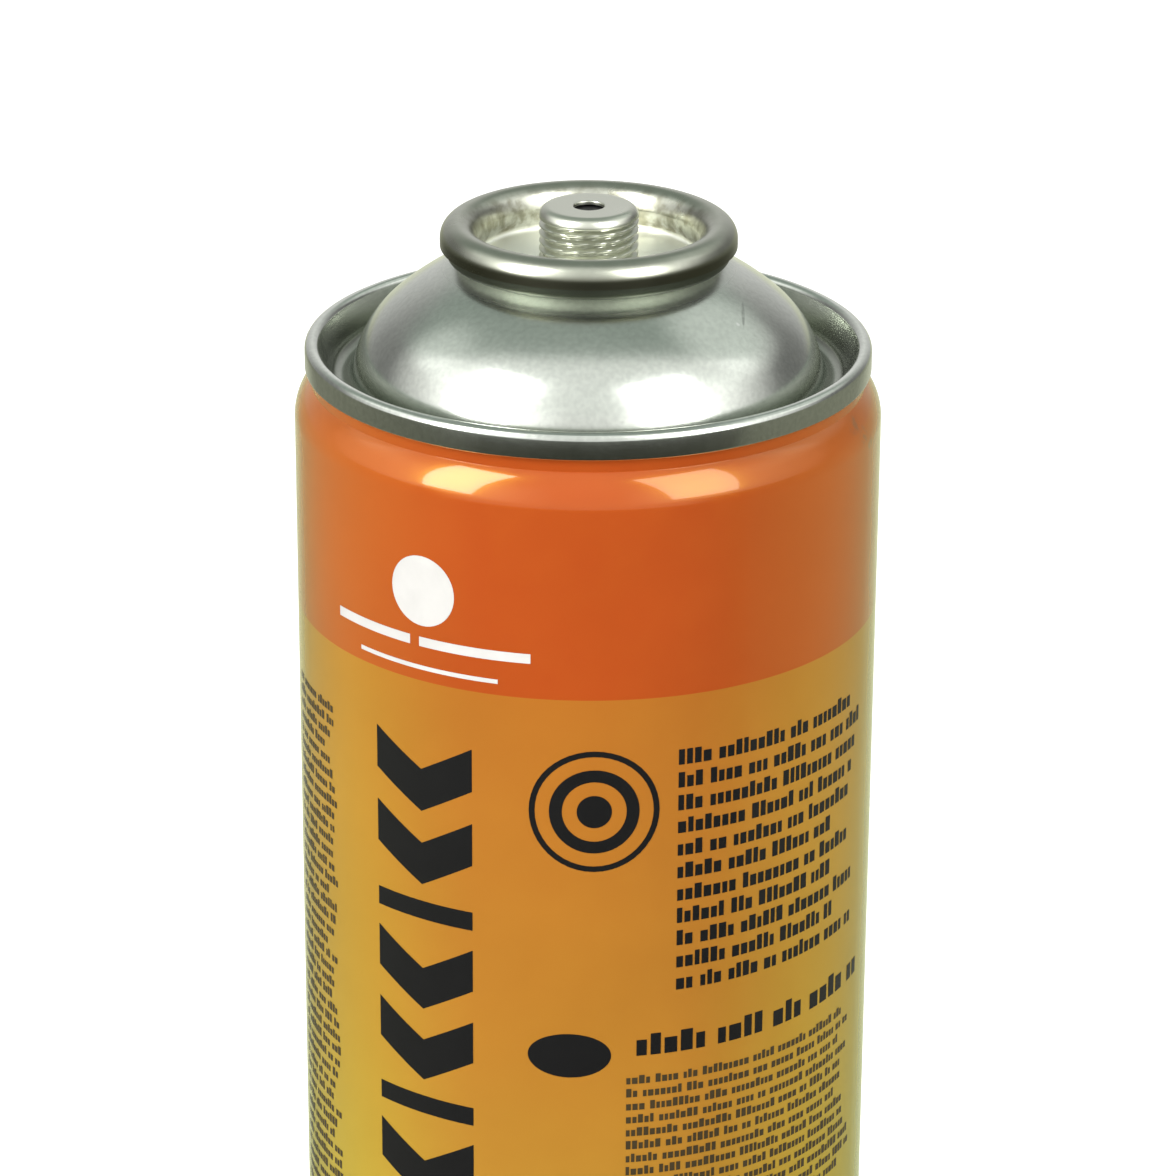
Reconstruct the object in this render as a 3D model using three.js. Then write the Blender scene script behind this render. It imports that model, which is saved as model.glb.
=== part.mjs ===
// Screw-on gas cartridge: a tall round tinplate can with a domed top, and a pressed valve cup that
// carries a threaded turret. Millimetres, +Z up, origin at the middle of the ring it stands on.
import * as THREE from 'three';

// Driving dimensions of the can
const CAN_HEIGHT = 241; // from the ring it stands on to the top of the upper seam
const BODY_RADIUS = 32.5;
const SEAM_RADIUS = 31.3; // both ends are necked in, so the seams stay inside the body's outline
const SEAM_HEIGHT = 3.0;
const SEAM_THICKNESS = 1.6;
const SEAM_CORNER = 0.6;
const NECK_RADIUS = 30.65;
const SHOULDER_DROP = 8.45; // from a seam's outer edge to where the full radius begins
const SHOULDER_RADIUS = 5.5;
const PAINT_BAND_DROP = 29.6; // lower edge of the orange band, under the top of the upper seam
const PAINT_EDGE = 0.05; // half the height over which the two colours meet

// Driving dimensions of the upper end: a countersunk groove, then a dome up to the valve opening
const CHUCK_FOOT_RADIUS = 28.55;
const CHUCK_DEPTH = 3.1; // to where the round bottom of the groove begins, on both its sides
const DOME_FOOT_RADIUS = 26.0;
const DOME_SIDE_ARC = 12.26;
const DOME_CROWN_ARC = 27.62;
const DOME_FOOT_SLOPE = THREE.MathUtils.degToRad(80);
const DOME_SPLIT_SLOPE = THREE.MathUtils.degToRad(42.35);
const DOME_NECK_SLOPE = THREE.MathUtils.degToRad(22.8);

// Driving dimensions of the curl round the opening, as heights above the top of the upper seam
const OPENING_RADIUS = 12.95;
const CURL_RADIUS = 15.6;
const CURL_TOP = 12.93;
const CURL_BOTTOM = 9.4;
const CURL_LOWER_ARC = 0.7; // the curl's lower outer corner
const CURL_NECK_RADIUS = 13.95; // where the dome's sheet turns into the curl
const CURL_NECK_DROP = 0.22;
const CURL_INNER_RISE = 0.6; // start of the undercut for the clinched cup, over the curl's bottom

// Driving dimensions of the valve cup, its heights also above the top of the upper seam
const CUP_SHEET = 0.42;
const BEAD_RADIUS = 16.32;
const BEAD_TOP = 13.65;
const BEAD_SKIRT = 10.9;
const BEAD_ARC = 1.9;
const WELL_RADIUS = 12.65;
const WELL_FLOOR = 8.9;
const CLINCH_RADIUS = 13.25; // the foot of the well, pressed outwards under the curl
const CLINCH_FACE = [[0.1, 0.45], [0.35, 0.05], [0.7, 0]]; // each as inset and rise over the floor
const CLINCH_BACK = [[0.5, -CUP_SHEET], [0.1, 0.3 - CUP_SHEET], [0, 0.35]];
const CLINCH_FACE_RISE = 1.1; // where the well's straight wall begins, on its two faces
const CLINCH_BACK_RISE = 0.95;
const BEAD_RUNOUT = 0.3; // straight wall left between the well and the bead's arc
const TURRET_RADIUS = 5.45; // crests of the 7/16 inch, 28 turns to the inch, right-hand thread
const TURRET_SHEET = 0.95; // sheet with the depth of the thread on it
const TURRET_TOP = 15.25;
const TURRET_EDGE = 0.75;
const TURRET_FOOT = 0.5; // slope between the well's floor and the turret
const BORE_RADIUS = 1.7;

// Base end and the hidden parts of the valve
const BASE_WALL_RISE = 4.4;
const BASE_PANEL_RADIUS = 27.5;
const BASE_PANEL_RISE = 5.3;
const BASE_PANEL_STEP = 0.8; // panel's edge over the foot of the base's wall
const BASE_FOOT_RISE = 0.55; // of the turn between panel and wall
const SEAL_THICKNESS = 1.4;
const SEAL_RADIUS = 4.1;
const SEAL_HOLE = 0.75;
const HOUSING_TAIL_RADIUS = 5.2;
const HOUSING_TAIL_LENGTH = 9;
const HOUSING_BEVEL = 0.8;
const POCKET_DEPTH = 0.45; // free height under the cup
const POCKET_BEVEL = 0.5;
const POCKET_BEVEL_RISE = 0.2;
const GAP = 0.3; // left between neighbouring pieces

// How finely the sections are cut
const CAN_SEGMENTS = 56;
const CUP_SEGMENTS = 48;
const SHOULDER_STEPS = 4;
const SEAM_FOOT_STEPS = 2;
const SEAM_STEPS = 3;
const GROOVE_STEPS = 6;
const DOME_SIDE_STEPS = 5;
const DOME_CROWN_STEPS = 3;
const CURL_LOWER_STEPS = 3;
const CURL_STEPS = 6;
const PANEL_STEPS = 4;
const BEAD_FRONT_STEPS = 6;
const BEAD_BACK_STEPS = 4;
const BEAD_INNER_STEPS = 9;
const TURRET_EDGE_STEPS = 4;

const TINPLATE = new THREE.Color('#b9bcb2');
const ORANGE = new THREE.Color('#d9591c');
const AMBER = new THREE.Color('#d59a3c');

// A point of a half section, radius first, then height
function point(radius, height) {
  return new THREE.Vector2(radius, height);
}

// Points along an arc of a half section; angles in degrees from straight outward, turning up
function arc(radius, height, size, from, to, steps) {
  const points = [];
  for (let step = 0; step <= steps; step += 1) {
    const angle = THREE.MathUtils.degToRad(from + ((to - from) * step) / steps);
    points.push(point(radius + size * Math.cos(angle), height + size * Math.sin(angle)));
  }
  return points;
}

// Turns a half section upside down about mid-height, which also reverses its order
function mirrored(points, height) {
  return points.map((p) => point(p.x, height - p.y)).reverse();
}

// Lathes a half section about Z
function revolved(points, segments) {
  const geometry = new THREE.LatheGeometry(points, segments);
  geometry.rotateX(Math.PI / 2);
  return geometry;
}

// The neck, shoulder and seam of one end, from the straight wall up to the seam's inner corner
function endOutline(top) {
  const shoulderSweep = THREE.MathUtils.radToDeg(
    Math.acos(1 - (BODY_RADIUS - NECK_RADIUS) / SHOULDER_RADIUS),
  );
  const shoulderMiddle = BODY_RADIUS - SHOULDER_RADIUS;
  const seamInner = SEAM_RADIUS - SEAM_THICKNESS;
  const underSeam = top - SEAM_HEIGHT;
  const edge = SEAM_CORNER;
  return [
    ...arc(shoulderMiddle, top - SHOULDER_DROP, SHOULDER_RADIUS, 0, shoulderSweep, SHOULDER_STEPS),
    point(NECK_RADIUS, underSeam),
    ...arc(SEAM_RADIUS - edge / 2, underSeam + edge / 2, edge / 2, -90, 0, SEAM_FOOT_STEPS),
    ...arc(SEAM_RADIUS - edge, top - edge, edge, 0, 90, SEAM_STEPS),
    ...arc(seamInner + edge, top - edge, edge, 90, 180, SEAM_STEPS),
  ];
}

// Carries an outline on along an arc that leans inwards, from one slope to a flatter one
function climb(outline, size, steep, flat, steps) {
  let slope = steep;
  for (let step = 1; step <= steps; step += 1) {
    const next = steep + ((flat - steep) * step) / steps;
    const last = outline[outline.length - 1];
    const inward = size * (Math.sin(slope) - Math.sin(next));
    const upward = size * (Math.cos(next) - Math.cos(slope));
    outline.push(point(last.x - inward, last.y + upward));
    slope = next;
  }
}

// The upper end: chuck wall, groove and dome, in from the seam to the neck under the curl
function upperEnd(top) {
  const grooveRadius = (CHUCK_FOOT_RADIUS - DOME_FOOT_RADIUS) / 2;
  const grooveMiddle = DOME_FOOT_RADIUS + grooveRadius;
  const outline = arc(grooveMiddle, top - CHUCK_DEPTH, grooveRadius, 0, -180, GROOVE_STEPS);
  climb(outline, DOME_SIDE_ARC, DOME_FOOT_SLOPE, DOME_SPLIT_SLOPE, DOME_SIDE_STEPS);
  climb(outline, DOME_CROWN_ARC, DOME_SPLIT_SLOPE, DOME_NECK_SLOPE, DOME_CROWN_STEPS);
  return outline;
}

// The curl that the valve cup is crimped over, and the pocket under the cup
function curlAndPocket(top) {
  const curlArc = (CURL_RADIUS - OPENING_RADIUS) / 2;
  const curlMiddle = OPENING_RADIUS + curlArc;
  const lowerArcHeight = top + CURL_BOTTOM + CURL_LOWER_ARC;
  const pocketFloor = top + WELL_FLOOR - CUP_SHEET - POCKET_DEPTH;
  const undercut = CLINCH_RADIUS + GAP;
  const tailRadius = HOUSING_TAIL_RADIUS + GAP;
  const tailFloor = pocketFloor - HOUSING_TAIL_LENGTH - GAP;
  return [
    point(CURL_NECK_RADIUS, top + CURL_BOTTOM - CURL_NECK_DROP),
    ...arc(CURL_RADIUS - CURL_LOWER_ARC, lowerArcHeight, CURL_LOWER_ARC, -90, 0, CURL_LOWER_STEPS),
    ...arc(curlMiddle, top + CURL_TOP - curlArc, curlArc, 0, 180, CURL_STEPS),
    point(OPENING_RADIUS, top + CURL_BOTTOM + CURL_INNER_RISE),
    point(undercut, top + CURL_BOTTOM),
    point(undercut, top + WELL_FLOOR - POCKET_BEVEL_RISE),
    point(undercut - POCKET_BEVEL, pocketFloor),
    point(tailRadius, pocketFloor),
    point(tailRadius, tailFloor),
    point(0, tailFloor),
  ];
}

// The concave base end, out from the middle to the seam's inner corner
function baseEnd() {
  const panelEdge = BASE_WALL_RISE + BASE_PANEL_STEP;
  const sphere = (BASE_PANEL_RADIUS ** 2 + BASE_PANEL_RISE ** 2) / (2 * BASE_PANEL_RISE);
  const middle = panelEdge + BASE_PANEL_RISE - sphere;
  const sweep = THREE.MathUtils.radToDeg(Math.asin(BASE_PANEL_RADIUS / sphere));
  const panel = arc(0, middle, sphere, 90, 90 - sweep, PANEL_STEPS);
  panel[0].x = 0;
  return [
    ...panel,
    point((BASE_PANEL_RADIUS + CHUCK_FOOT_RADIUS) / 2, BASE_WALL_RISE + BASE_FOOT_RISE),
    point(CHUCK_FOOT_RADIUS, BASE_WALL_RISE),
  ];
}

// Colours the can by height: bare tinplate ends, an orange band, and amber below it
function paintCan(geometry) {
  const position = geometry.getAttribute('position');
  const colours = [];
  for (let index = 0; index < position.count; index += 1) {
    const height = position.getZ(index);
    const bare = height < SEAM_HEIGHT || height > CAN_HEIGHT - SEAM_HEIGHT - PAINT_EDGE;
    const band = height > CAN_HEIGHT - PAINT_BAND_DROP;
    const colour = bare ? TINPLATE : band ? ORANGE : AMBER;
    colours.push(colour.r, colour.g, colour.b);
  }
  geometry.setAttribute('color', new THREE.Float32BufferAttribute(colours, 3));
}

// The sealed can as one solid: printed wall, both seamed ends and what it holds
function makeCan() {
  const band = CAN_HEIGHT - PAINT_BAND_DROP;
  const section = [
    ...baseEnd(),
    ...mirrored(endOutline(CAN_HEIGHT), CAN_HEIGHT),
    point(BODY_RADIUS, band - PAINT_EDGE),
    point(BODY_RADIUS, band + PAINT_EDGE),
    ...endOutline(CAN_HEIGHT),
    ...upperEnd(CAN_HEIGHT),
    ...curlAndPocket(CAN_HEIGHT),
  ];
  const geometry = revolved(section, CAN_SEGMENTS);
  paintCan(geometry);
  return geometry;
}

// The valve cup, one pressing: a bead over the can's curl, a clinched well and a hollow turret
function makeValveCup() {
  const z = (height) => CAN_HEIGHT + height;
  const beadMiddle = BEAD_RADIUS - BEAD_ARC;
  const beadHeight = BEAD_TOP - BEAD_ARC;
  const inside = BEAD_ARC - CUP_SHEET;
  const wallInside = WELL_RADIUS - CUP_SHEET;
  const turretInside = TURRET_RADIUS - TURRET_SHEET;
  const floorUnder = WELL_FLOOR - CUP_SHEET;
  const roofUnder = TURRET_TOP - CUP_SHEET;
  const clinchInside = CLINCH_RADIUS - CUP_SHEET;
  const edgeMiddle = TURRET_RADIUS - TURRET_EDGE;
  const section = [
    point(BEAD_RADIUS - CUP_SHEET, z(BEAD_SKIRT)),
    point(BEAD_RADIUS, z(BEAD_SKIRT)),
    ...arc(beadMiddle, z(beadHeight), BEAD_ARC, 0, 90, BEAD_FRONT_STEPS),
    ...arc(beadMiddle, z(beadHeight), BEAD_ARC, 105, 165, BEAD_BACK_STEPS),
    point(wallInside, z(beadHeight - BEAD_RUNOUT)),
    point(wallInside, z(WELL_FLOOR + CLINCH_FACE_RISE)),
    ...CLINCH_FACE.map(([inset, rise]) => point(clinchInside - inset, z(WELL_FLOOR + rise))),
    point(TURRET_RADIUS + TURRET_FOOT, z(WELL_FLOOR)),
    point(TURRET_RADIUS, z(WELL_FLOOR + TURRET_FOOT)),
    ...arc(edgeMiddle, z(TURRET_TOP - TURRET_EDGE), TURRET_EDGE, 0, 90, TURRET_EDGE_STEPS),
    point(BORE_RADIUS, z(TURRET_TOP)),
    point(BORE_RADIUS, z(roofUnder)),
    point(turretInside, z(roofUnder)),
    point(turretInside, z(floorUnder)),
    ...CLINCH_BACK.map(([inset, rise]) => point(CLINCH_RADIUS - inset, z(WELL_FLOOR + rise))),
    point(WELL_RADIUS, z(WELL_FLOOR + CLINCH_BACK_RISE)),
    point(WELL_RADIUS, z(beadHeight - BEAD_RUNOUT)),
    ...arc(beadMiddle, z(beadHeight), inside, 165, 0, BEAD_INNER_STEPS),
  ];
  section.push(section[0].clone());
  return revolved(section, CUP_SEGMENTS);
}

// Rubber ring clamped under the turret's roof, seen through the bore
function makeValveSeal() {
  const top = CAN_HEIGHT + TURRET_TOP - CUP_SHEET - GAP;
  const bottom = top - SEAL_THICKNESS;
  const section = [
    point(SEAL_HOLE, bottom),
    point(SEAL_RADIUS, bottom),
    point(SEAL_RADIUS, top),
    point(SEAL_HOLE, top),
    point(SEAL_HOLE, bottom),
  ];
  return revolved(section, CUP_SEGMENTS);
}

// Valve housing inside the turret, with its tail hanging in the can
function makeValveHousing() {
  const top = CAN_HEIGHT + TURRET_TOP - CUP_SHEET - GAP * 2 - SEAL_THICKNESS;
  const shoulder = CAN_HEIGHT + WELL_FLOOR - CUP_SHEET - GAP;
  const bottom = CAN_HEIGHT + WELL_FLOOR - CUP_SHEET - POCKET_DEPTH - HOUSING_TAIL_LENGTH;
  const section = [
    point(0, bottom),
    point(HOUSING_TAIL_RADIUS - HOUSING_BEVEL, bottom),
    point(HOUSING_TAIL_RADIUS, bottom + HOUSING_BEVEL),
    point(HOUSING_TAIL_RADIUS, shoulder),
    point(SEAL_RADIUS, shoulder),
    point(SEAL_RADIUS, top),
    point(0, top),
  ];
  return revolved(section, CUP_SEGMENTS);
}

function addPiece(group, name, geometry, material) {
  const mesh = new THREE.Mesh(geometry, new THREE.MeshStandardMaterial(material));
  mesh.name = name;
  group.add(mesh);
}

const group = new THREE.Group();
addPiece(group, 'can', makeCan(), { vertexColors: true, roughness: 0.3, metalness: 0.4 });
addPiece(group, 'valve_cup', makeValveCup(), { color: '#a3a594', roughness: 0.25, metalness: 1 });
addPiece(group, 'valve_seal', makeValveSeal(), { color: '#161616', roughness: 0.8, metalness: 0 });
addPiece(group, 'valve_housing', makeValveHousing(), { color: '#d9d6cc', roughness: 0.5, metalness: 0 });

export default group;
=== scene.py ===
"""Looks of a screw-on gas cartridge: a printed tinplate can with a domed end and a threaded valve cup."""
import math
import bmesh
import bpy
from mathutils import Matrix, Vector


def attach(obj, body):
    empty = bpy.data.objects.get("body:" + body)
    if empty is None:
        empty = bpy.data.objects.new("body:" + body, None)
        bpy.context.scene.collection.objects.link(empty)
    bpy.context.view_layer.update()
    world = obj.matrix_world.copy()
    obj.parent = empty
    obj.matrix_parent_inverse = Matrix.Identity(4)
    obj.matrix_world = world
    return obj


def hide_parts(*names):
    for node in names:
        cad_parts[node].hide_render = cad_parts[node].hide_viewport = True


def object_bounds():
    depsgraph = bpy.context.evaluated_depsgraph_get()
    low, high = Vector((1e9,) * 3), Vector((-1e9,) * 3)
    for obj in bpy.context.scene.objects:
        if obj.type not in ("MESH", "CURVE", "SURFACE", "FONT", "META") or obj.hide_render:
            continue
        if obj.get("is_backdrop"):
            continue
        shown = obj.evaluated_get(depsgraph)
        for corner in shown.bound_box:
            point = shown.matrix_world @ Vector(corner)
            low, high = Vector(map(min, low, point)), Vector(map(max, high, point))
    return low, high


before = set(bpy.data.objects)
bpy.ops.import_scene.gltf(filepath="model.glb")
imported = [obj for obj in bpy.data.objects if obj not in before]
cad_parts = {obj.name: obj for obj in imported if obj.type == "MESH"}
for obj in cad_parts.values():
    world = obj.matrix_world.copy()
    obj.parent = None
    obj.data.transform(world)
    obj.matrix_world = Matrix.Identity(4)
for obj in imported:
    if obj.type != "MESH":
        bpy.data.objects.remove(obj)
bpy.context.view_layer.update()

# Sizes in millimetres, the part's own apart from rounder edges on seam and turret. Heights of curl, bead, well,
# turret and thread, and those named "over", count from the top of the upper seam
CAN_HEIGHT = 241.0
BODY_RADIUS = 32.5
SEAM_RADIUS, SEAM_HEIGHT, SEAM_THICKNESS, SEAM_CORNER = 31.3, 3.0, 1.6, 0.75
NECK_RADIUS = 30.65
SHOULDER_DROP, SHOULDER_RADIUS = 8.45, 5.5
PAINT_BAND_DROP = 29.6
CHUCK_FOOT_RADIUS, CHUCK_DEPTH, DOME_FOOT_RADIUS = 28.55, 3.1, 26.0
DOME_SIDE_ARC, DOME_CROWN_ARC = 12.26, 27.62
OPENING_RADIUS, CURL_RADIUS, CURL_TOP, CURL_BOTTOM = 12.95, 15.6, 12.93, 9.4
CUP_SHEET, BEAD_RADIUS, BEAD_TOP, BEAD_SKIRT, BEAD_ARC = 0.42, 16.32, 13.65, 10.9, 1.9
WELL_RADIUS, WELL_FLOOR, CLINCH_RADIUS = 12.65, 8.9, 13.25
TURRET_RADIUS, THREAD_DEPTH, THREAD_PITCH = 5.45, 0.5, 25.4 / 28
TURRET_SHEET, TURRET_TOP, TURRET_EDGE, BORE_RADIUS = 0.95, 15.25, 1.05, 1.7
BASE_WALL_RISE, BASE_PANEL_RADIUS, BASE_PANEL_RISE = 4.4, 27.5, 5.3
INNER_WALL, LOWER_CAP, UPPER_CAP_DROP = NECK_RADIUS - 0.35, 16, 10
# Thread groove: reach of a flank in turns, the factor that flattens its bottom, and its fading at both ends
THREAD_FLANK, THREAD_FLATTENED = 0.42, 1.25
THREAD_RUN_IN, THREAD_RUN_OUT = 0.5, 0.35
THREAD_LOW, THREAD_HIGH = WELL_FLOOR + 0.55, TURRET_TOP - TURRET_EDGE - 0.02
CLINCHES, CLINCH_DENT, CLINCH_HEIGHT = 8, 0.22, 1.6
WELL_FOOT_FILLET, TURRET_FOOT_FILLET, BORE_EDGE = 0.35, 0.45, 0.12
PRINT_LIFT, PRINT_STRIP = 0.03, 0.9
WELD_WIDTH, WELD_HEIGHT, WELD_MARGIN = 0.9, 0.12, 5.2
MM = 0.001


def arc(radius, height, size, start, stop, steps):
    """Points of a half section along an arc, angles in degrees from straight outward."""
    points = []
    for step in range(steps + 1):
        angle = math.radians(start + (stop - start) * step / steps)
        points.append((radius + size * math.cos(angle), height + size * math.sin(angle)))
    return points


def line(first, last, steps):
    """Evenly spaced points between two, both ends included."""
    return [(first[0] + (last[0] - first[0]) * k / steps, first[1] + (last[1] - first[1]) * k / steps)
            for k in range(steps + 1)]


def flipped(points, height):
    """The half section upside down about mid-height, in reversed order."""
    return [(r, height - z) for r, z in reversed(points)]


def add_mesh(name, verts, faces, material, smooth=True):
    """A piece from points in millimetres."""
    mesh = bpy.data.meshes.new(name)
    mesh.from_pydata([(x / 1000, y / 1000, z / 1000) for x, y, z in verts], [], faces)
    mesh.update()
    mesh.polygons.foreach_set("use_smooth", [smooth] * len(mesh.polygons))
    piece = bpy.data.objects.new(name, mesh)
    bpy.context.scene.collection.objects.link(piece)
    mesh.materials.append(material)
    return piece


def lathe(name, section, material, segments=240, closed=False, shape=None):
    """Turns a half section about Z; shape(radius, height, angle) may alter the radius and height."""
    rows = len(section)
    verts, faces = [], []
    for k in range(segments):
        angle = 2 * math.pi * k / segments
        for r, z in section:
            if shape:
                r, z = shape(r, z, angle)
            verts.append((r * math.cos(angle), r * math.sin(angle), z))
    for k in range(segments):
        here, there = k * rows, (k + 1) % segments * rows
        for j in range(rows if closed else rows - 1):
            n = (j + 1) % rows
            faces.append((here + j, there + j, there + n, here + n))
    piece = add_mesh(name, verts, faces, material)
    mesh = piece.data
    bm = bmesh.new()
    bm.from_mesh(mesh)
    bmesh.ops.remove_doubles(bm, verts=bm.verts, dist=1e-7)
    bmesh.ops.recalc_face_normals(bm, faces=bm.faces)
    bm.to_mesh(mesh)
    bm.free()
    mesh.set_sharp_from_angle(angle=math.radians(35))
    return piece


# Materials
def new_material(name, colour, metallic, roughness, coat=0.0, coat_ior=1.5, coat_roughness=0.03):
    material = bpy.data.materials.new(name)
    material.use_nodes = True
    tree = material.node_tree
    shader = tree.nodes["Principled BSDF"]
    shader.inputs["Base Color"].default_value = (*colour, 1)
    shader.inputs["Metallic"].default_value = metallic
    shader.inputs["Roughness"].default_value = roughness
    shader.inputs["Coat Weight"].default_value = coat
    shader.inputs["Coat IOR"].default_value = coat_ior
    shader.inputs["Coat Roughness"].default_value = coat_roughness
    return material, tree, shader


def node(tree, kind, **values):
    item = tree.nodes.new(kind)
    for key, value in values.items():
        if hasattr(item, key):
            setattr(item, key, value)
        else:
            item.inputs[key.replace("_", " ")].default_value = value
    return item


def plug(tree, source, target):
    tree.links.new(source, target)


def math_node(tree, operation, first, second=None, clamp=False):
    item = tree.nodes.new("ShaderNodeMath")
    item.operation = operation
    item.use_clamp = clamp
    for socket, value in zip(item.inputs, (first, second)):
        if value is None:
            continue
        if isinstance(value, (int, float)):
            socket.default_value = value
        else:
            plug(tree, value, socket)
    return item.outputs[0]


def product(tree, *factors):
    result = factors[0]
    for factor in factors[1:]:
        result = math_node(tree, "MULTIPLY", result, factor)
    return result


def scaled(tree, source, low, high, out_low, out_high, smooth=False):
    """Carries a value from one range to another and holds it at both ends."""
    item = tree.nodes.new("ShaderNodeMapRange")
    item.interpolation_type = "SMOOTHSTEP" if smooth else "LINEAR"
    for socket, value in zip(item.inputs[1:5], (low, high, out_low, out_high)):
        socket.default_value = value
    plug(tree, source, item.inputs[0])
    return item.outputs[0]


def span(tree, source, low, high, out_low, out_high, smooth=False):
    """Like scaled, with its limits in millimetres."""
    return scaled(tree, source, low * MM, high * MM, out_low, out_high, smooth)


def over_seam(tree, height, low, high, out_low, out_high, smooth=False):
    """Like scaled, with its limits in millimetres over the top of the upper seam."""
    return span(tree, height, CAN_HEIGHT + low, CAN_HEIGHT + high, out_low, out_high, smooth)


def ramp(tree, factor, stops):
    item = tree.nodes.new("ShaderNodeValToRGB")
    band = item.color_ramp
    while len(band.elements) < len(stops):
        band.elements.new(0.5)
    for element, (position, colour) in zip(band.elements, stops):
        element.position = position
        element.color = (*colour, 1)
    plug(tree, factor, item.inputs[0])
    return item.outputs[0]


def blend(tree, factor, first, second, kind="MIX"):
    item = tree.nodes.new("ShaderNodeMix")
    item.data_type = "RGBA"
    item.blend_type = kind
    for socket, value in ((item.inputs[0], factor), (item.inputs[6], first), (item.inputs[7], second)):
        if isinstance(value, (int, float)):
            socket.default_value = value
        elif isinstance(value, tuple):
            socket.default_value = (*value, 1)
        else:
            plug(tree, value, socket)
    return item.outputs[2]


def place(tree):
    """Object coordinates and their three parts."""
    coords = tree.nodes.new("ShaderNodeTexCoord").outputs["Object"]
    parts = tree.nodes.new("ShaderNodeSeparateXYZ")
    plug(tree, coords, parts.inputs[0])
    return coords, parts.outputs


def from_axis(tree, coords):
    """Distance from the can's axis."""
    flat = tree.nodes.new("ShaderNodeVectorMath")
    flat.operation = "MULTIPLY"
    flat.inputs[1].default_value = (1, 1, 0)
    plug(tree, coords, flat.inputs[0])
    reach = tree.nodes.new("ShaderNodeVectorMath")
    reach.operation = "LENGTH"
    plug(tree, flat.outputs[0], reach.inputs[0])
    return reach.outputs["Value"]


def noise(tree, coords, scale, detail=3.0):
    item = node(tree, "ShaderNodeTexNoise", Scale=scale, Detail=detail)
    plug(tree, coords, item.inputs["Vector"])
    return item.outputs["Fac"]


def spot(tree, coords, centre, half, edge=0.5):
    """1 inside an ellipsoid given in metres, falling to 0 at its surface."""
    mapping = tree.nodes.new("ShaderNodeMapping")
    mapping.vector_type = "POINT"
    mapping.inputs["Scale"].default_value = tuple(1 / h for h in half)
    mapping.inputs["Location"].default_value = tuple(-c / h for c, h in zip(centre, half))
    plug(tree, coords, mapping.inputs[0])
    length = tree.nodes.new("ShaderNodeVectorMath")
    length.operation = "LENGTH"
    plug(tree, mapping.outputs[0], length.inputs[0])
    return scaled(tree, length.outputs["Value"], 1 - edge, 1, 1, 0, True)


def bump(tree, shader, height, strength, distance):
    item = node(tree, "ShaderNodeBump", Strength=strength, Distance=distance)
    plug(tree, height, item.inputs["Height"])
    plug(tree, item.outputs[0], shader.inputs["Normal"])


def end_painted_shade(tree, coords, height, tone, rough):
    """Painted shade: darker in the groove round the dome, on the neck, and on the curl under the cup's bead; a
    rougher neck.
    """
    reach = from_axis(tree, coords)
    # Painted shade on the neck under the cup's bead
    tone = blend(tree, over_seam(tree, height, 8.4, 9.2, 0, 0.3, True), tone, (0.22, 0.24, 0.19))
    # Painted shade on the curl under the cup's bead
    tone = blend(tree, over_seam(tree, height, 9.3, 9.5, 0, 0.95), tone, (0.07, 0.08, 0.055))
    rough = math_node(tree, "ADD", rough, over_seam(tree, height, 7.6, 8.8, 0, 0.2))
    # Painted shade in the groove between the dome's foot and the chuck wall
    groove = product(tree, span(tree, reach, 25.4, 26.2, 0, 0.6), over_seam(tree, height, -1.2, -0.6, 1, 0),
                     span(tree, reach, 29.0, 29.8, 1, 0))
    return blend(tree, groove, tone, (0.16, 0.18, 0.13)), rough


def cup_grime_and_painted_light(tree, coords, height, tone, rough, soiled):
    """A duller bead, darker under its widest line with painted shade, a stained wall in the well, a lighter
    turret, and a pale, rough floor whose paleness is painted light.
    """
    reach = from_axis(tree, coords)
    rim = span(tree, reach, 12.8, 14.0, 0, 1, True)
    patchy = scaled(tree, noise(tree, coords, 420, 5), 0.3, 0.68, 0.65, 1)
    tone = blend(tree, product(tree, rim, patchy), tone, soiled)
    # Painted shade under the bead's widest line and on its skirt
    under = over_seam(tree, height, 11.6, 12.6, 0.95, 0, True)
    tone = blend(tree, product(tree, rim, under), tone, (0.085, 0.085, 0.055))
    stain = scaled(tree, noise(tree, coords, 700, 4), 0.42, 0.62, 0.25, 0.95)
    wall = product(tree, span(tree, reach, 11.5, 12.0, 0, 1), over_seam(tree, height, 9.0, 12.4, 1, 0.6))
    inside = math_node(tree, "SUBTRACT", 1.0, rim)
    tone = blend(tree, product(tree, wall, stain, inside), tone, (0.17, 0.16, 0.095))
    tone = blend(tree, span(tree, reach, 5.6, 6.2, 1, 0), tone, (0.66, 0.675, 0.58))
    # Painted light: the floor of the well made pale against the well's shade, and rougher
    foot = product(tree, over_seam(tree, height, 9.1, 9.6, 1, 0), span(tree, reach, 5.6, 6.0, 0, 1))
    tone = blend(tree, foot, tone, (0.95, 0.96, 0.88))
    return tone, math_node(tree, "ADD", rough, product(tree, foot, 0.25))


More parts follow.
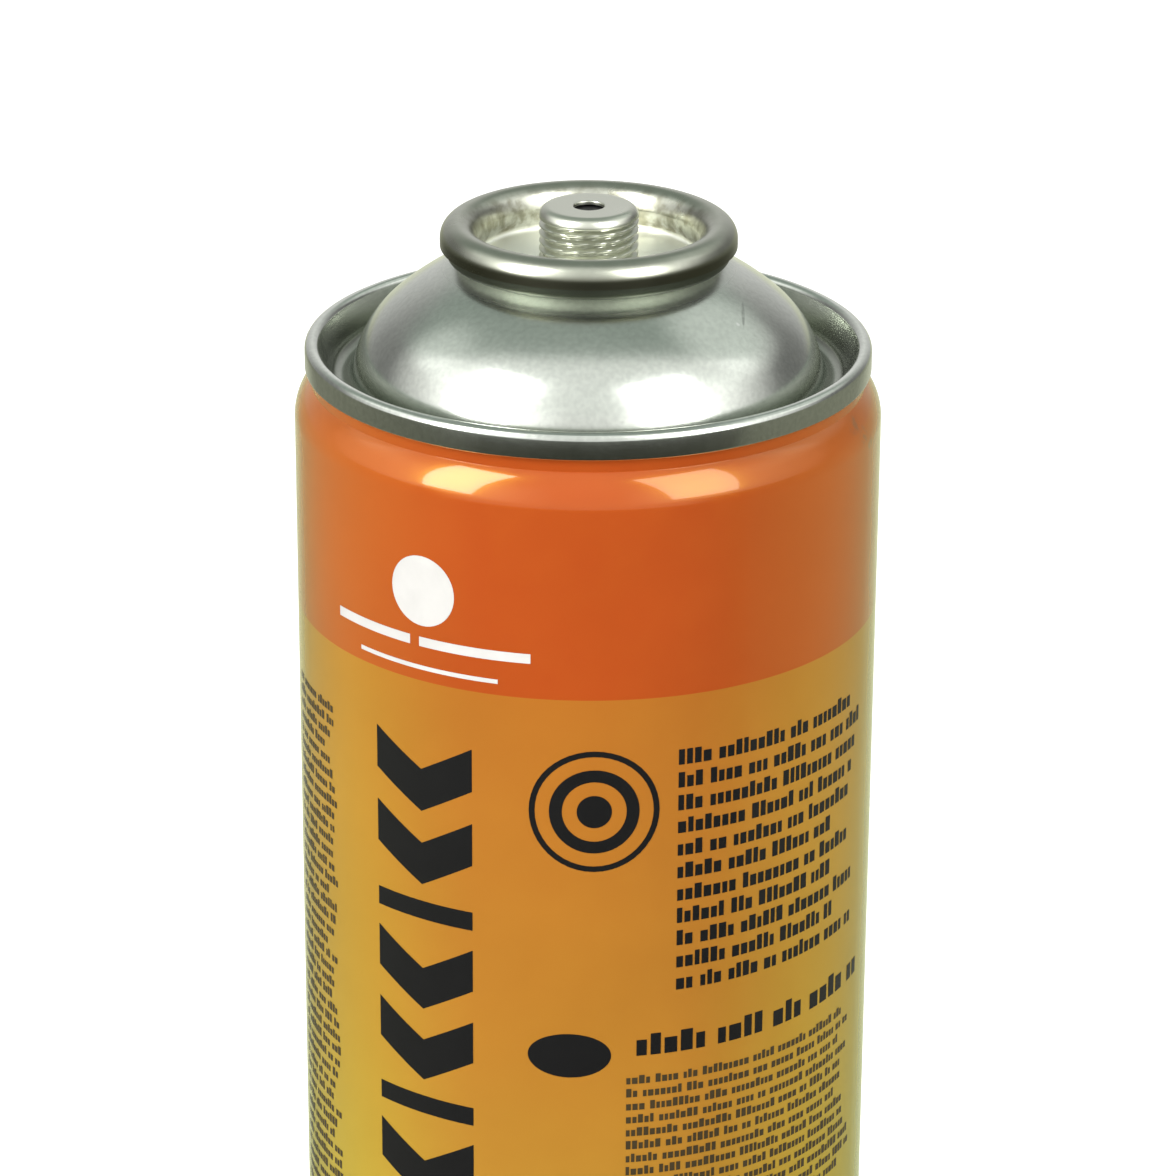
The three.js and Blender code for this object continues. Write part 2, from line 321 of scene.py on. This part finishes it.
def tinplate(name, colour, roughness, marks=(), soiled=None, painted_crevice_shade=False):
    """Bare metal with clouds, grain and a slight waviness; marks are ellipsoids of another shade. The end's
    flag adds painted shade in its groove and under the bead; soiled adds the cup's grime with painted shade
    under the bead and painted light on the well floor.
    """
    material, tree, shader = new_material(name, colour, 1.0, roughness)
    coords, axes = place(tree)
    cloud = noise(tree, coords, 90, 4)
    grain = noise(tree, coords, 2600, 2)
    dull, dark = tuple(c * 0.95 for c in colour), tuple(c * 0.55 for c in colour)
    tone = blend(tree, scaled(tree, cloud, 0.35, 0.65, 0, 1), dull, colour)
    tone = blend(tree, scaled(tree, noise(tree, coords, 1700, 3), 0.35, 0.65, 0.22, 0), tone, dark)
    rough = scaled(tree, cloud, 0.3, 0.7, roughness * 0.88, roughness * 1.12)
    if painted_crevice_shade:
        tone, rough = end_painted_shade(tree, coords, axes[2], tone, rough)
    if soiled:
        tone, rough = cup_grime_and_painted_light(tree, coords, axes[2], tone, rough, soiled)
    for centre, half, shade in marks:
        breaks = scaled(tree, noise(tree, coords, 1500, 3), 0.35, 0.6, 0.4, 1)
        broken = math_node(tree, "MULTIPLY", spot(tree, coords, centre, half), breaks, True)
        tone = blend(tree, broken, tone, shade)
    plug(tree, tone, shader.inputs["Base Color"])
    plug(tree, rough, shader.inputs["Roughness"])
    waves = math_node(tree, "ADD", grain, product(tree, noise(tree, coords, 230, 2), 2.5))
    bump(tree, shader, waves, 0.10, 0.00002)
    return material


# Centres and half sizes of the rubs on the right shoulder, in metres
SMUDGES = [((0.0288, -0.0128, 0.2355), (0.0010, 0.0022, 0.0012)),
           ((0.0298, -0.0118, 0.2340), (0.0010, 0.0018, 0.0014)),
           ((0.0308, -0.0104, 0.2328), (0.0008, 0.0012, 0.0010))]
BAND_EDGE = CAN_HEIGHT - PAINT_BAND_DROP


def printed_wall():
    """Orange band over amber that turns yellow further down, and yellower at the sides facing the front with
    painted sheen, under a glossy varnish.
    """
    material, tree, shader = new_material("printed_tinplate", (0.5, 0.15, 0.03), 0.14, 0.25, 1.0, 1.39, 0.05)
    coords, axes = place(tree)
    fall = span(tree, axes[2], 0, BAND_EDGE, 0, 1)
    amber = ramp(tree, fall, [(0.0, (0.43, 0.262, 0.036)), (0.5, (0.425, 0.265, 0.033)),
                              (0.8, (0.403, 0.164, 0.020)), (1.0, (0.403, 0.129, 0.0165))])
    band = span(tree, axes[2], BAND_EDGE - 0.02, BAND_EDGE + 0.02, 0, 1)
    tone = blend(tree, band, amber, (0.403, 0.059, 0.0095))
    mottle = scaled(tree, noise(tree, coords, 60, 4), 0.3, 0.7, 0.96, 1.04)
    vary = tree.nodes.new("ShaderNodeCombineColor")
    for socket in vary.inputs:
        plug(tree, mottle, socket)
    tone = blend(tree, 1.0, tone, vary.outputs[0], "MULTIPLY")
    # Painted sheen: yellower towards the sides that face the front
    painted_side_sheen = product(tree, span(tree, math_node(tree, "ABSOLUTE", axes[0]), 11, 29, 0, 1, True),
                      span(tree, axes[1], -8, 12, 1, 0, True), span(tree, axes[2], 90, 150, 0, 1, True))
    tone = blend(tree, painted_side_sheen, tone, blend(tree, 1.0, tone, (1.08, 1.52, 1.1), "MULTIPLY"))
    rough = scaled(tree, noise(tree, coords, 240, 3), 0.3, 0.7, 0.18, 0.26)
    for centre, half in SMUDGES:
        worn = scaled(tree, noise(tree, coords, 1300, 4), 0.4, 0.6, 0, 0.75)
        tone = blend(tree, product(tree, spot(tree, coords, centre, half), worn), tone, (0.26, 0.10, 0.04))
    plug(tree, tone, shader.inputs["Base Color"])
    shader.inputs["Specular Tint"].default_value = (0.3, 1.0, 0.05, 1)
    shader.inputs["Sheen Weight"].default_value = 0.35
    shader.inputs["Sheen Roughness"].default_value = 0.4
    shader.inputs["Sheen Tint"].default_value = (0.8, 1.0, 0.35, 1)
    plug(tree, rough, shader.inputs["Roughness"])
    return material


def ink(name, colour):
    material, tree, shader = new_material(name, colour, 0.0, 0.5, 1.0, 1.5, 0.05)
    shader.inputs["Specular IOR Level"].default_value = 0.05
    coords, _ = place(tree)
    thin = tuple(c * 0.9 for c in colour)
    tone = blend(tree, scaled(tree, noise(tree, coords, 300, 4), 0.3, 0.7, 0, 1), thin, colour)
    plug(tree, tone, shader.inputs["Base Color"])
    return material


def moulded(name, colour, roughness):
    material, tree, shader = new_material(name, colour, 0.0, roughness)
    coords, _ = place(tree)
    cloud = noise(tree, coords, 400, 3)
    plug(tree, blend(tree, cloud, tuple(c * 0.85 for c in colour), colour), shader.inputs["Base Color"])
    bump(tree, shader, noise(tree, coords, 3000, 2), 0.1, 0.00003)
    return material


END_TIN = (0.74, 0.77, 0.70)
DARK_MARK, PALE_MARK = (0.40, 0.42, 0.38), (0.9, 0.9, 0.86)
# Small scratches on the dome: centre and half size in metres, then shade
END_MARKS = [((0.0167, -0.0098, 0.2471), (0.00022, 0.0030, 0.0015), DARK_MARK),
             ((0.0161, -0.0118, 0.2467), (0.0004, 0.0003, 0.0003), PALE_MARK),
             ((-0.0125, -0.0160, 0.2458), (0.0010, 0.0003, 0.0003), PALE_MARK)]
# The end tin gets painted shade in its groove and under the bead
end_tin = tinplate("bare_tinplate_end", END_TIN, 0.19, END_MARKS, painted_crevice_shade=True)
# The cup tin gets painted shade under the bead and painted light on the well floor
cup_tin = tinplate("bare_tinplate_cup", (0.60, 0.615, 0.53), 0.29, soiled=(0.40, 0.415, 0.34))
base_tin = tinplate("bare_tinplate_base", END_TIN, 0.33)
wall_paint = printed_wall()
black_ink = ink("black_ink", (0.008, 0.008, 0.008))
brown_ink = ink("fine_print_ink", (0.05, 0.035, 0.015))
white_ink = ink("white_ink", (0.57, 0.56, 0.53))


# The printed wall with its necks and shoulders, closed by caps hidden inside
def end_neck(top):
    sweep = math.degrees(math.acos(1 - (BODY_RADIUS - NECK_RADIUS) / SHOULDER_RADIUS))
    return arc(BODY_RADIUS - SHOULDER_RADIUS, top - SHOULDER_DROP, SHOULDER_RADIUS, 0, sweep, 18) + [
        (NECK_RADIUS, top - SEAM_HEIGHT + 0.1)]


def wall_section():
    upper_cap = CAN_HEIGHT - UPPER_CAP_DROP
    return ([(0, LOWER_CAP), (INNER_WALL, LOWER_CAP), (INNER_WALL, SEAM_HEIGHT - 0.1)]
            + flipped(end_neck(CAN_HEIGHT), CAN_HEIGHT)
            + line((BODY_RADIUS, 12), (BODY_RADIUS, CAN_HEIGHT - 12), 24)
            + end_neck(CAN_HEIGHT)
            + [(INNER_WALL, CAN_HEIGHT - SEAM_HEIGHT + 0.1), (INNER_WALL, upper_cap), (0, upper_cap)])


can_wall = lathe("can_wall", wall_section(), wall_paint)


# The seam both ends are rolled into, from its lower edge over the crest to its inner corner
def seam(top):
    inner, under, edge = SEAM_RADIUS - SEAM_THICKNESS, top - SEAM_HEIGHT, SEAM_CORNER
    return ([(NECK_RADIUS - 0.2, under)]
            + arc(SEAM_RADIUS - edge / 2, under + edge / 2, edge / 2, -90, 0, 6)
            + arc(SEAM_RADIUS - edge, top - edge, edge, 0, 90, 8)
            + arc(inner + edge, top - edge, edge, 90, 180, 8))


def dome(start):
    """Dome from its foot up to the neck under the curl, two arcs of falling slope."""
    outline, slope = [start], math.radians(80)
    for last, size, steps in ((42.35, DOME_SIDE_ARC, 22), (22.8, DOME_CROWN_ARC, 16)):
        first, last = slope, math.radians(last)
        for k in range(1, steps + 1):
            turned = first + (last - first) * k / steps
            r, z = outline[-1]
            outline.append((r - size * (math.sin(slope) - math.sin(turned)),
                            z + size * (math.cos(turned) - math.cos(slope))))
            slope = turned
    return outline


def upper_section(top):
    groove = (CHUCK_FOOT_RADIUS - DOME_FOOT_RADIUS) / 2
    curl = (CURL_RADIUS - OPENING_RADIUS) / 2
    path = seam(top) + arc(DOME_FOOT_RADIUS + groove, top - CHUCK_DEPTH, groove, 0, -180, 16)
    path += dome(path[-1])[1:]
    path += [(OPENING_RADIUS + 1, top + CURL_BOTTOM - 0.22)]
    path += arc(CURL_RADIUS - 0.7, top + CURL_BOTTOM + 0.7, 0.7, -90, 0, 6)
    path += arc(OPENING_RADIUS + curl, top + CURL_TOP - curl, curl, 0, 180, 14)
    path += [(OPENING_RADIUS, top + CURL_BOTTOM + 0.6), (CLINCH_RADIUS + 0.3, top + CURL_BOTTOM),
             (CLINCH_RADIUS + 0.3, top + 8.0)]
    inner = [(r - 0.25, z - 0.35) for r, z in dome((DOME_FOOT_RADIUS, top - CHUCK_DEPTH))
             if r > CLINCH_RADIUS + 1.2]
    return path + inner[::-1] + [(DOME_FOOT_RADIUS - 0.3, top - 5), (NECK_RADIUS - 0.4, top - 5),
                                 (NECK_RADIUS - 0.4, top - SEAM_HEIGHT)]


upper_end = lathe("upper_end", upper_section(CAN_HEIGHT), end_tin, closed=True)


# The concave base end, mirrored seam included
def base_section():
    edge = BASE_WALL_RISE + 0.8
    sphere = (BASE_PANEL_RADIUS ** 2 + BASE_PANEL_RISE ** 2) / (2 * BASE_PANEL_RISE)
    sweep = math.degrees(math.asin(BASE_PANEL_RADIUS / sphere))
    panel = arc(0, edge + BASE_PANEL_RISE - sphere, sphere, 90, 90 - sweep, 24)
    panel[0] = (0.0, panel[0][1])
    path = panel + [(28.0, BASE_WALL_RISE + 0.55), (CHUCK_FOOT_RADIUS, BASE_WALL_RISE)]
    path += flipped(seam(CAN_HEIGHT), CAN_HEIGHT)
    return path + [(NECK_RADIUS - 0.4, SEAM_HEIGHT), (NECK_RADIUS - 0.4, 6.0)] + [
        (0.0 if r == 0 else r * 0.985, z + 0.4) for r, z in reversed(panel)]


base_end = lathe("base_end", base_section(), base_tin)


# The valve cup: bead, clinched well and a turret with a cut right-hand thread
def cup_section():
    top = CAN_HEIGHT
    middle, height, inside = BEAD_RADIUS - BEAD_ARC, BEAD_TOP - BEAD_ARC, BEAD_ARC - CUP_SHEET
    well = WELL_RADIUS - CUP_SHEET
    turret_inside, floor_under = TURRET_RADIUS - TURRET_SHEET, WELL_FLOOR - CUP_SHEET
    outer = line((BEAD_RADIUS, BEAD_SKIRT), (BEAD_RADIUS, height), 3)
    outer += arc(middle, height, BEAD_ARC, 6, 160, 30)
    outer += line((well, height - 0.3), (well, WELL_FLOOR + 1.5), 4)
    outer += [(well + 0.06, WELL_FLOOR + 1.1), (well + 0.22, WELL_FLOOR + 0.75),
              (well + 0.36, WELL_FLOOR + 0.45)]
    outer += arc(CLINCH_RADIUS - CUP_SHEET - 0.55, WELL_FLOOR + WELL_FOOT_FILLET, WELL_FOOT_FILLET, 0, -90, 6)
    outer += line((10.5, WELL_FLOOR), (TURRET_RADIUS + 0.6, WELL_FLOOR), 4)
    outer += arc(TURRET_RADIUS + 0.4, WELL_FLOOR + TURRET_FOOT_FILLET, TURRET_FOOT_FILLET, 270, 180, 6)
    outer += line((TURRET_RADIUS, THREAD_LOW), (TURRET_RADIUS, THREAD_HIGH), 96)
    outer += arc(TURRET_RADIUS - TURRET_EDGE, TURRET_TOP - TURRET_EDGE, TURRET_EDGE, 0, 90, 10)
    outer += line((4.1, TURRET_TOP), (BORE_RADIUS + 0.15, TURRET_TOP), 3)
    outer += arc(BORE_RADIUS + BORE_EDGE, TURRET_TOP - BORE_EDGE, BORE_EDGE, 90, 180, 4)
    inner = [(BORE_RADIUS, TURRET_TOP - CUP_SHEET), (turret_inside, TURRET_TOP - CUP_SHEET),
             (turret_inside, floor_under), (CLINCH_RADIUS - 0.5, floor_under),
             (CLINCH_RADIUS - 0.1, floor_under + 0.3), (CLINCH_RADIUS, WELL_FLOOR + WELL_FOOT_FILLET),
             (WELL_RADIUS, WELL_FLOOR + 0.95), (WELL_RADIUS, height - 0.3)]
    inner += arc(middle, height, inside, 165, 0, 16) + [(BEAD_RADIUS - CUP_SHEET, BEAD_SKIRT)]
    return [(r, z + top) for r, z in outer + inner]


def cup_shape(r, z, angle):
    """Cuts the helical thread into the turret and dents the well's foot outwards at the clinches."""
    over = z - CAN_HEIGHT
    if abs(r - TURRET_RADIUS) < 1e-6 and THREAD_LOW <= over <= THREAD_HIGH + 1e-6:
        turn = (over / THREAD_PITCH - angle / (2 * math.pi)) % 1.0
        groove = min(1.0, max(0.0, 1 - abs(turn - 0.5) / THREAD_FLANK) * THREAD_FLATTENED)
        fade = min(1.0, (over - THREAD_LOW) / THREAD_RUN_IN, max(0.0, (THREAD_HIGH - over) / THREAD_RUN_OUT))
        r -= THREAD_DEPTH * groove * fade
    elif (WELL_RADIUS - CUP_SHEET - 0.01 < r < CLINCH_RADIUS
          and WELL_FLOOR + 0.02 < over < WELL_FLOOR + CLINCH_HEIGHT):
        lobe = 0.5 + 0.5 * math.cos(CLINCHES * angle)
        r += CLINCH_DENT * lobe * math.sin(math.pi * min(1.0, (over - WELL_FLOOR) / CLINCH_HEIGHT))
    return r, z


valve_cup = lathe("valve_cup_pressing", cup_section(), cup_tin, segments=216, closed=True, shape=cup_shape)


# Print: plain shapes set out as distance round the wall from its front and height over the seam
class Print:
    def __init__(self):
        self.verts, self.faces = [], []

    def at(self, around, over, lift=PRINT_LIFT):
        angle = around / BODY_RADIUS
        radius = BODY_RADIUS + lift
        self.verts.append((radius * math.sin(angle), -radius * math.cos(angle), CAN_HEIGHT + over))
        return len(self.verts) - 1

    def quad(self, low_left, low_right, high_right, high_left):
        """A four-sided shape, cut into strips so that it follows the wall."""
        width = max(abs(low_right[0] - low_left[0]), abs(high_right[0] - high_left[0]))
        steps = max(1, math.ceil(width / PRINT_STRIP))
        previous = None
        for k in range(steps + 1):
            t = k / steps
            low = self.at(low_left[0] + (low_right[0] - low_left[0]) * t,
                          low_left[1] + (low_right[1] - low_left[1]) * t)
            high = self.at(high_left[0] + (high_right[0] - high_left[0]) * t,
                           high_left[1] + (high_right[1] - high_left[1]) * t)
            if previous:
                self.faces.append((previous[0], low, high, previous[1]))
            previous = (low, high)

    def bar(self, left, right, low, high):
        self.quad((left, low), (right, low), (right, high), (left, high))

    def ring(self, around, over, inner, outer, squash=1.0, parts=48):
        """A ring, or a disc when the inner size is 0; squash flattens it."""
        rings = max(2, math.ceil((outer - inner) / PRINT_STRIP) + 1)
        rows = []
        for k in range(rings):
            size = inner + (outer - inner) * k / (rings - 1)
            if size == 0:
                rows.append([self.at(around, over)] * parts)
                continue
            rows.append([self.at(around + size * math.cos(2 * math.pi * j / parts),
                                 over + size * squash * math.sin(2 * math.pi * j / parts))
                         for j in range(parts)])
        for low, high in zip(rows, rows[1:]):
            for j in range(parts):
                n = (j + 1) % parts
                corners = [low[j], high[j], high[n], low[n]]
                self.faces.append(tuple(dict.fromkeys(corners)))

    def rows_of_strokes(self, left, right, tops, height, seed, width=0.62, ragged=0.25):
        """Lines of upright strokes in word-long groups, their sizes from a fixed sequence."""
        state = seed

        def chance():
            nonlocal state
            state = (state * 1103515245 + 12345) % 2147483648
            return state / 2147483648

        for top in tops:
            end = right - (right - left) * ragged * chance()
            here = left
            while here < end - width * 2:
                for _ in range(2 + int(8 * chance())):
                    if here > end - width:
                        break
                    stroke = width * (0.75 + 0.5 * chance())
                    rise = height if chance() > 0.7 else height * 0.74
                    self.bar(here, here + stroke, top - height, top - height + rise)
                    here += stroke + width * 0.34
                here += width * 0.95

    def piece(self, name, material):
        made = add_mesh(name, self.verts, self.faces, material)
        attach(made, "root")
        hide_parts("can")


def spaced(first, step, count):
    return [first - step * k for k in range(count)]


# White disc and bars on the orange band
white = Print()
white.ring(-18.6, -19.2, 0, 4.0)
white.bar(-31.5, -20.2, -25.6, -24.5)
white.bar(-19.0, -6.0, -25.6, -24.5)
white.bar(-27.6, -9.6, -28.3, -27.8)
white.piece("print_white", white_ink)

# Black column of chevrons and bars, rings, an oval and rows of strokes
black = Print()
COLUMN_LEFT, COLUMN_MIDDLE, COLUMN_RIGHT, COLUMN_TOP, BLOCKS, BLOCK_STEP = -25.2, -18.9, -12.6, -36.4, 7, 24.0
CHEVRON_THICKNESS, CHEVRON_STEP, CHEVRON_DROP = 5.0, 8.8, 3.6
for block in range(BLOCKS):
    top = COLUMN_TOP - BLOCK_STEP * block
    for high in (top, top - CHEVRON_STEP):
        low = high - CHEVRON_THICKNESS
        tip_low, tip_high = (COLUMN_MIDDLE, low - CHEVRON_DROP), (COLUMN_MIDDLE, high - CHEVRON_DROP)
        black.quad((COLUMN_LEFT, low), tip_low, tip_high, (COLUMN_LEFT, high))
        black.quad(tip_low, (COLUMN_RIGHT, low), (COLUMN_RIGHT, high), tip_high)
    black.bar(COLUMN_LEFT, COLUMN_RIGHT, top - 21.6, top - 19.4)
for inner, outer in ((6.45, 7.1), (3.5, 4.9), (0, 1.9)):
    black.ring(0.9, -42.6, inner, outer)
black.ring(-1.7, -72.0, 0, 4.6, 0.58)
black.rows_of_strokes(5.7, 41.4, [-69.6], 2.6, 11, 1.25, 0.02)
black.rows_of_strokes(10.1, 42.6, spaced(-35.9, 2.69, 11), 1.8, 5, 0.74, 0.34)
black.piece("print_black", black_ink)

# Three blocks of fine strokes, two on the right and one far round on the left
fine = Print()
fine.rows_of_strokes(4.6, 38.9, spaced(-74.6, 1.62, 26), 1.05, 7, 0.5, 0.14)
fine.rows_of_strokes(-45.0, -32.6, spaced(-37.0, 1.62, 60), 1.05, 3, 0.5, 0.15)
fine.rows_of_strokes(5.0, 38.9, spaced(-122.0, 1.9, 34), 1.15, 23, 0.55, 0.3)
fine.piece("print_fine", brown_ink)

# Welded side seam at the back, on an unprinted margin
BACK, WELD_FOOT, WELD_TOP = math.pi * BODY_RADIUS, -CAN_HEIGHT + 12.4, -9.4
margin = Print()
margin.bar(BACK - WELD_MARGIN / 2, BACK + WELD_MARGIN / 2, WELD_FOOT, WELD_TOP)
margin.piece("weld_margin", tinplate("lacquered_margin", (0.50, 0.47, 0.36), 0.32))
weld = Print()
for side in (BACK - WELD_WIDTH / 2, BACK + WELD_WIDTH / 2):
    weld.faces.append((weld.at(side, WELD_FOOT, 0.02), weld.at(BACK, WELD_FOOT, WELD_HEIGHT),
                       weld.at(BACK, WELD_TOP, WELD_HEIGHT), weld.at(side, WELD_TOP, 0.02)))
weld.piece("weld_line", tinplate("weld_tinplate", (0.30, 0.28, 0.24), 0.45))

for piece, slot in ((can_wall, "printed_tinplate"), (upper_end, "bare_tinplate"),
                    (base_end, "bare_tinplate")):
    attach(piece, "root")
    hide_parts("can")
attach(valve_cup, "root")
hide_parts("valve_cup")

for name, material in (("valve_seal", moulded("seal_rubber", (0.008, 0.008, 0.0075), 0.7)),
                       ("valve_housing", moulded("housing_plastic", (0.62, 0.60, 0.54), 0.45))):
    carried = bpy.data.objects[name]
    carried.data.materials.clear()
    carried.data.materials.append(material)


# Brightness of the studio as the can mirrors it: degrees round from straight in front, then level
FLOOR_ROUND = [(-180, 0.95), (-165, 0.65), (-144, 0.22), (-109, 0.20), (-80, 0.15), (-40, 0.06), (0, 0.04),
               (40, 0.05), (60, 0.07), (66, 0.18), (94, 0.22), (138, 0.25), (163, 0.65), (180, 0.95)]
WORLD_ROUND = [(-180, 0.85), (-160, 0.6), (-140, 0.3), (-125, 0.2), (-90, 0.17), (-74, 0.4), (-50, 0.6),
               (-38, 0.9), (30, 0.9), (45, 0.6), (66, 0.4), (88, 0.17), (125, 0.17), (140, 0.24), (160, 0.6),
               (180, 0.85)]
FAR_ROUND = [(-180, 0), (-60, 0), (-44, 0.95), (36, 0.95), (50, 0), (180, 0)]
BEHIND_GREY, FRONT_LIGHT, DIFFUSE_GREY = (0.32, 0.37, 0.34), (0.94, 0.96, 0.95), (0.38, 0.38, 0.38)
FLOOR_GREY, FLOOR_GLOW, FLOOR_REACH = (0.86, 0.86, 0.86), 0.72, 9000
# Directions in degrees, round from straight in front and up; a patch of glow has two cosines and a level
LEFT_BOX, RIGHT_BOX = (-54, 30), (45, 30)
BOX_GLOWS = ((LEFT_BOX, 0.46, 0.88, 0.9), (RIGHT_BOX, 0.46, 0.88, 0.9))
BACK_GLOWS = (((-112, 40), 0.962, 0.99, 0.32), ((122, 42), 0.91, 0.97, 0.38))
BOX_HEIGHT, BOX_DISTANCE, BOX_AIM = 1.14, 1.2, 0.22      # metres


def round_about(tree, x, y, stops):
    """Grey level by the direction round the can."""
    angle = math_node(tree, "ARCTAN2", x, math_node(tree, "MULTIPLY", y, -1.0))
    turn = scaled(tree, angle, -math.pi, math.pi, 0, 1)
    return ramp(tree, turn, [((a + 180) / 360, (level,) * 3) for a, level in stops])


# Floor: white to the camera with the can's shadow on it, and dark in front as the can mirrors it
def floor_material():
    material, tree, shader = new_material("studio_floor", FLOOR_GREY, 0.0, 0.8)
    tree.nodes.remove(shader)
    out = tree.nodes["Material Output"]
    coords, axes = place(tree)
    rays = tree.nodes.new("ShaderNodeLightPath")
    diffuse = node(tree, "ShaderNodeBsdfDiffuse", Color=(*FLOOR_GREY, 1))
    lift = node(tree, "ShaderNodeEmission", Color=(1, 1, 1, 1), Strength=FLOOR_GLOW)
    lit = tree.nodes.new("ShaderNodeAddShader")
    plug(tree, diffuse.outputs[0], lit.inputs[0])
    plug(tree, lift.outputs[0], lit.inputs[1])
    grey = round_about(tree, axes[0], axes[1], FLOOR_ROUND)
    away = tree.nodes.new("ShaderNodeVectorMath")
    away.operation = "LENGTH"
    plug(tree, coords, away.inputs[0])
    far = math_node(tree, "MULTIPLY", scaled(tree, away.outputs["Value"], 1.1, 1.6, 0, 1, True),
                    round_about(tree, axes[0], axes[1], FAR_ROUND))
    mirror = node(tree, "ShaderNodeEmission", Strength=1.0)
    grey = blend(tree, 1.0, grey, (1.0, 1.03, 0.80), "MULTIPLY")
    plug(tree, blend(tree, far, grey, FRONT_LIGHT), mirror.inputs[0])
    pick = tree.nodes.new("ShaderNodeMixShader")
    plug(tree, rays.outputs["Is Camera Ray"], pick.inputs[0])
    plain = tree.nodes.new("ShaderNodeMixShader")
    plug(tree, rays.outputs["Is Glossy Ray"], plain.inputs[0])
    plug(tree, diffuse.outputs[0], plain.inputs[1])
    plug(tree, mirror.outputs[0], plain.inputs[2])
    plug(tree, plain.outputs[0], pick.inputs[1])
    plug(tree, lit.outputs[0], pick.inputs[2])
    plug(tree, pick.outputs[0], out.inputs[0])
    return material


FLOOR_CORNERS = [(x * FLOOR_REACH, y * FLOOR_REACH, 0) for x, y in ((-1, -1), (1, -1), (1, 1), (-1, 1))]
floor = add_mesh("studio_floor", FLOOR_CORNERS, [(0, 1, 2, 3)], floor_material(), False)
floor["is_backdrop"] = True


def direction(azimuth, elevation):
    a, e = math.radians(azimuth), math.radians(elevation)
    return Vector((math.sin(a) * math.cos(e), -math.cos(a) * math.cos(e), math.sin(e)))


def glow(tree, coords, where, low, high, level):
    """A soft patch of the studio round one direction, between two cosines."""
    item = tree.nodes.new("ShaderNodeVectorMath")
    item.operation = "DOT_PRODUCT"
    item.inputs[1].default_value = direction(*where)
    plug(tree, coords, item.inputs[0])
    return scaled(tree, item.outputs["Value"], low, high, 0, level)


def world_light():
    world = bpy.data.worlds.new("studio")
    bpy.context.scene.world = world
    world.use_nodes = True
    tree = world.node_tree
    shader = tree.nodes["Background"]
    coords = tree.nodes.new("ShaderNodeTexCoord").outputs["Generated"]
    parts = tree.nodes.new("ShaderNodeSeparateXYZ")
    plug(tree, coords, parts.inputs[0])
    round_grey = round_about(tree, parts.outputs[0], parts.outputs[1], WORLD_ROUND)
    wide = math_node(tree, "ABSOLUTE", parts.outputs[0])
    aside = product(tree, wide, wide, 0.65)
    ahead = scaled(tree, math_node(tree, "SUBTRACT", parts.outputs[1], aside), -0.17, -0.09, 1, 0, True)
    high = blend(tree, ahead, BEHIND_GREY, FRONT_LIGHT)
    mirrored = blend(tree, scaled(tree, parts.outputs[2], 0.34, 0.62, 0, 1, True), round_grey, high)
    boxes = math_node(tree, "ADD", *(glow(tree, coords, *patch) for patch in BOX_GLOWS))
    boxes = product(tree, boxes, scaled(tree, wide, 0.2, 0.55, 0, 1),
                    scaled(tree, parts.outputs[2], 0.36, 0.76, 1, 0, True))
    backs = math_node(tree, "ADD", *(glow(tree, coords, *patch) for patch in BACK_GLOWS))
    round_boxes = tree.nodes.new("ShaderNodeCombineColor")
    for socket in round_boxes.inputs:
        plug(tree, math_node(tree, "ADD", boxes, backs), socket)
    mirrored = blend(tree, 1.0, mirrored, round_boxes.outputs[0], "ADD")
    rays = tree.nodes.new("ShaderNodeLightPath")
    grey = blend(tree, rays.outputs["Is Glossy Ray"], DIFFUSE_GREY, mirrored)
    plug(tree, blend(tree, rays.outputs["Is Camera Ray"], grey, (1.0, 1.0, 1.0)), shader.inputs[0])
    shader.inputs[1].default_value = 1.0


world_light()


def soft_box(name, where, width, power):
    """A tall soft box, its width in metres and its power in watts."""
    lamp = bpy.data.lights.new(name, "AREA")
    lamp.shape = "RECTANGLE"
    lamp.size, lamp.size_y = width, BOX_HEIGHT
    lamp.energy = power
    box = bpy.data.objects.new(name, lamp)
    bpy.context.scene.collection.objects.link(box)
    away = direction(*where)
    box.location = Vector((0, 0, BOX_AIM)) + away * BOX_DISTANCE
    box.rotation_euler = away.to_track_quat("Z", "Y").to_euler()
    box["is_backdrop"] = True


soft_box("left_soft_box", LEFT_BOX, 0.48, 19.5)
soft_box("right_soft_box", RIGHT_BOX, 0.62, 12.4)

# Camera, fitted to the picture without shift: angles in degrees, distance in metres, aim in millimetres
PITCH, ROLL, DISTANCE, AIM_ASIDE, AIM_OVER = 21.94, 0.288, 0.5372, 0.1, -29.76
FOCAL_PIXELS, PICTURE_PIXELS, SENSOR_WIDTH = 4768.0, 1176, 36
lens = bpy.data.cameras.new("camera")
lens.sensor_width = SENSOR_WIDTH
lens.lens = FOCAL_PIXELS / PICTURE_PIXELS * SENSOR_WIDTH
lens.clip_start, lens.clip_end = 0.01, 60
camera = bpy.data.objects.new("camera", lens)
bpy.context.scene.collection.objects.link(camera)
tilt = math.radians(PITCH)
aim = Vector((AIM_ASIDE * MM, 0, (CAN_HEIGHT + AIM_OVER) * MM))
turn = Matrix.Rotation(math.radians(90 - PITCH), 4, "X") @ Matrix.Rotation(math.radians(ROLL), 4, "Z")
camera.matrix_world = Matrix.Translation(aim - DISTANCE * Vector((0, math.cos(tilt), -math.sin(tilt)))) @ turn
bpy.context.scene.camera = camera
bpy.context.scene.view_settings.view_transform = "Standard"

low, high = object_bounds()
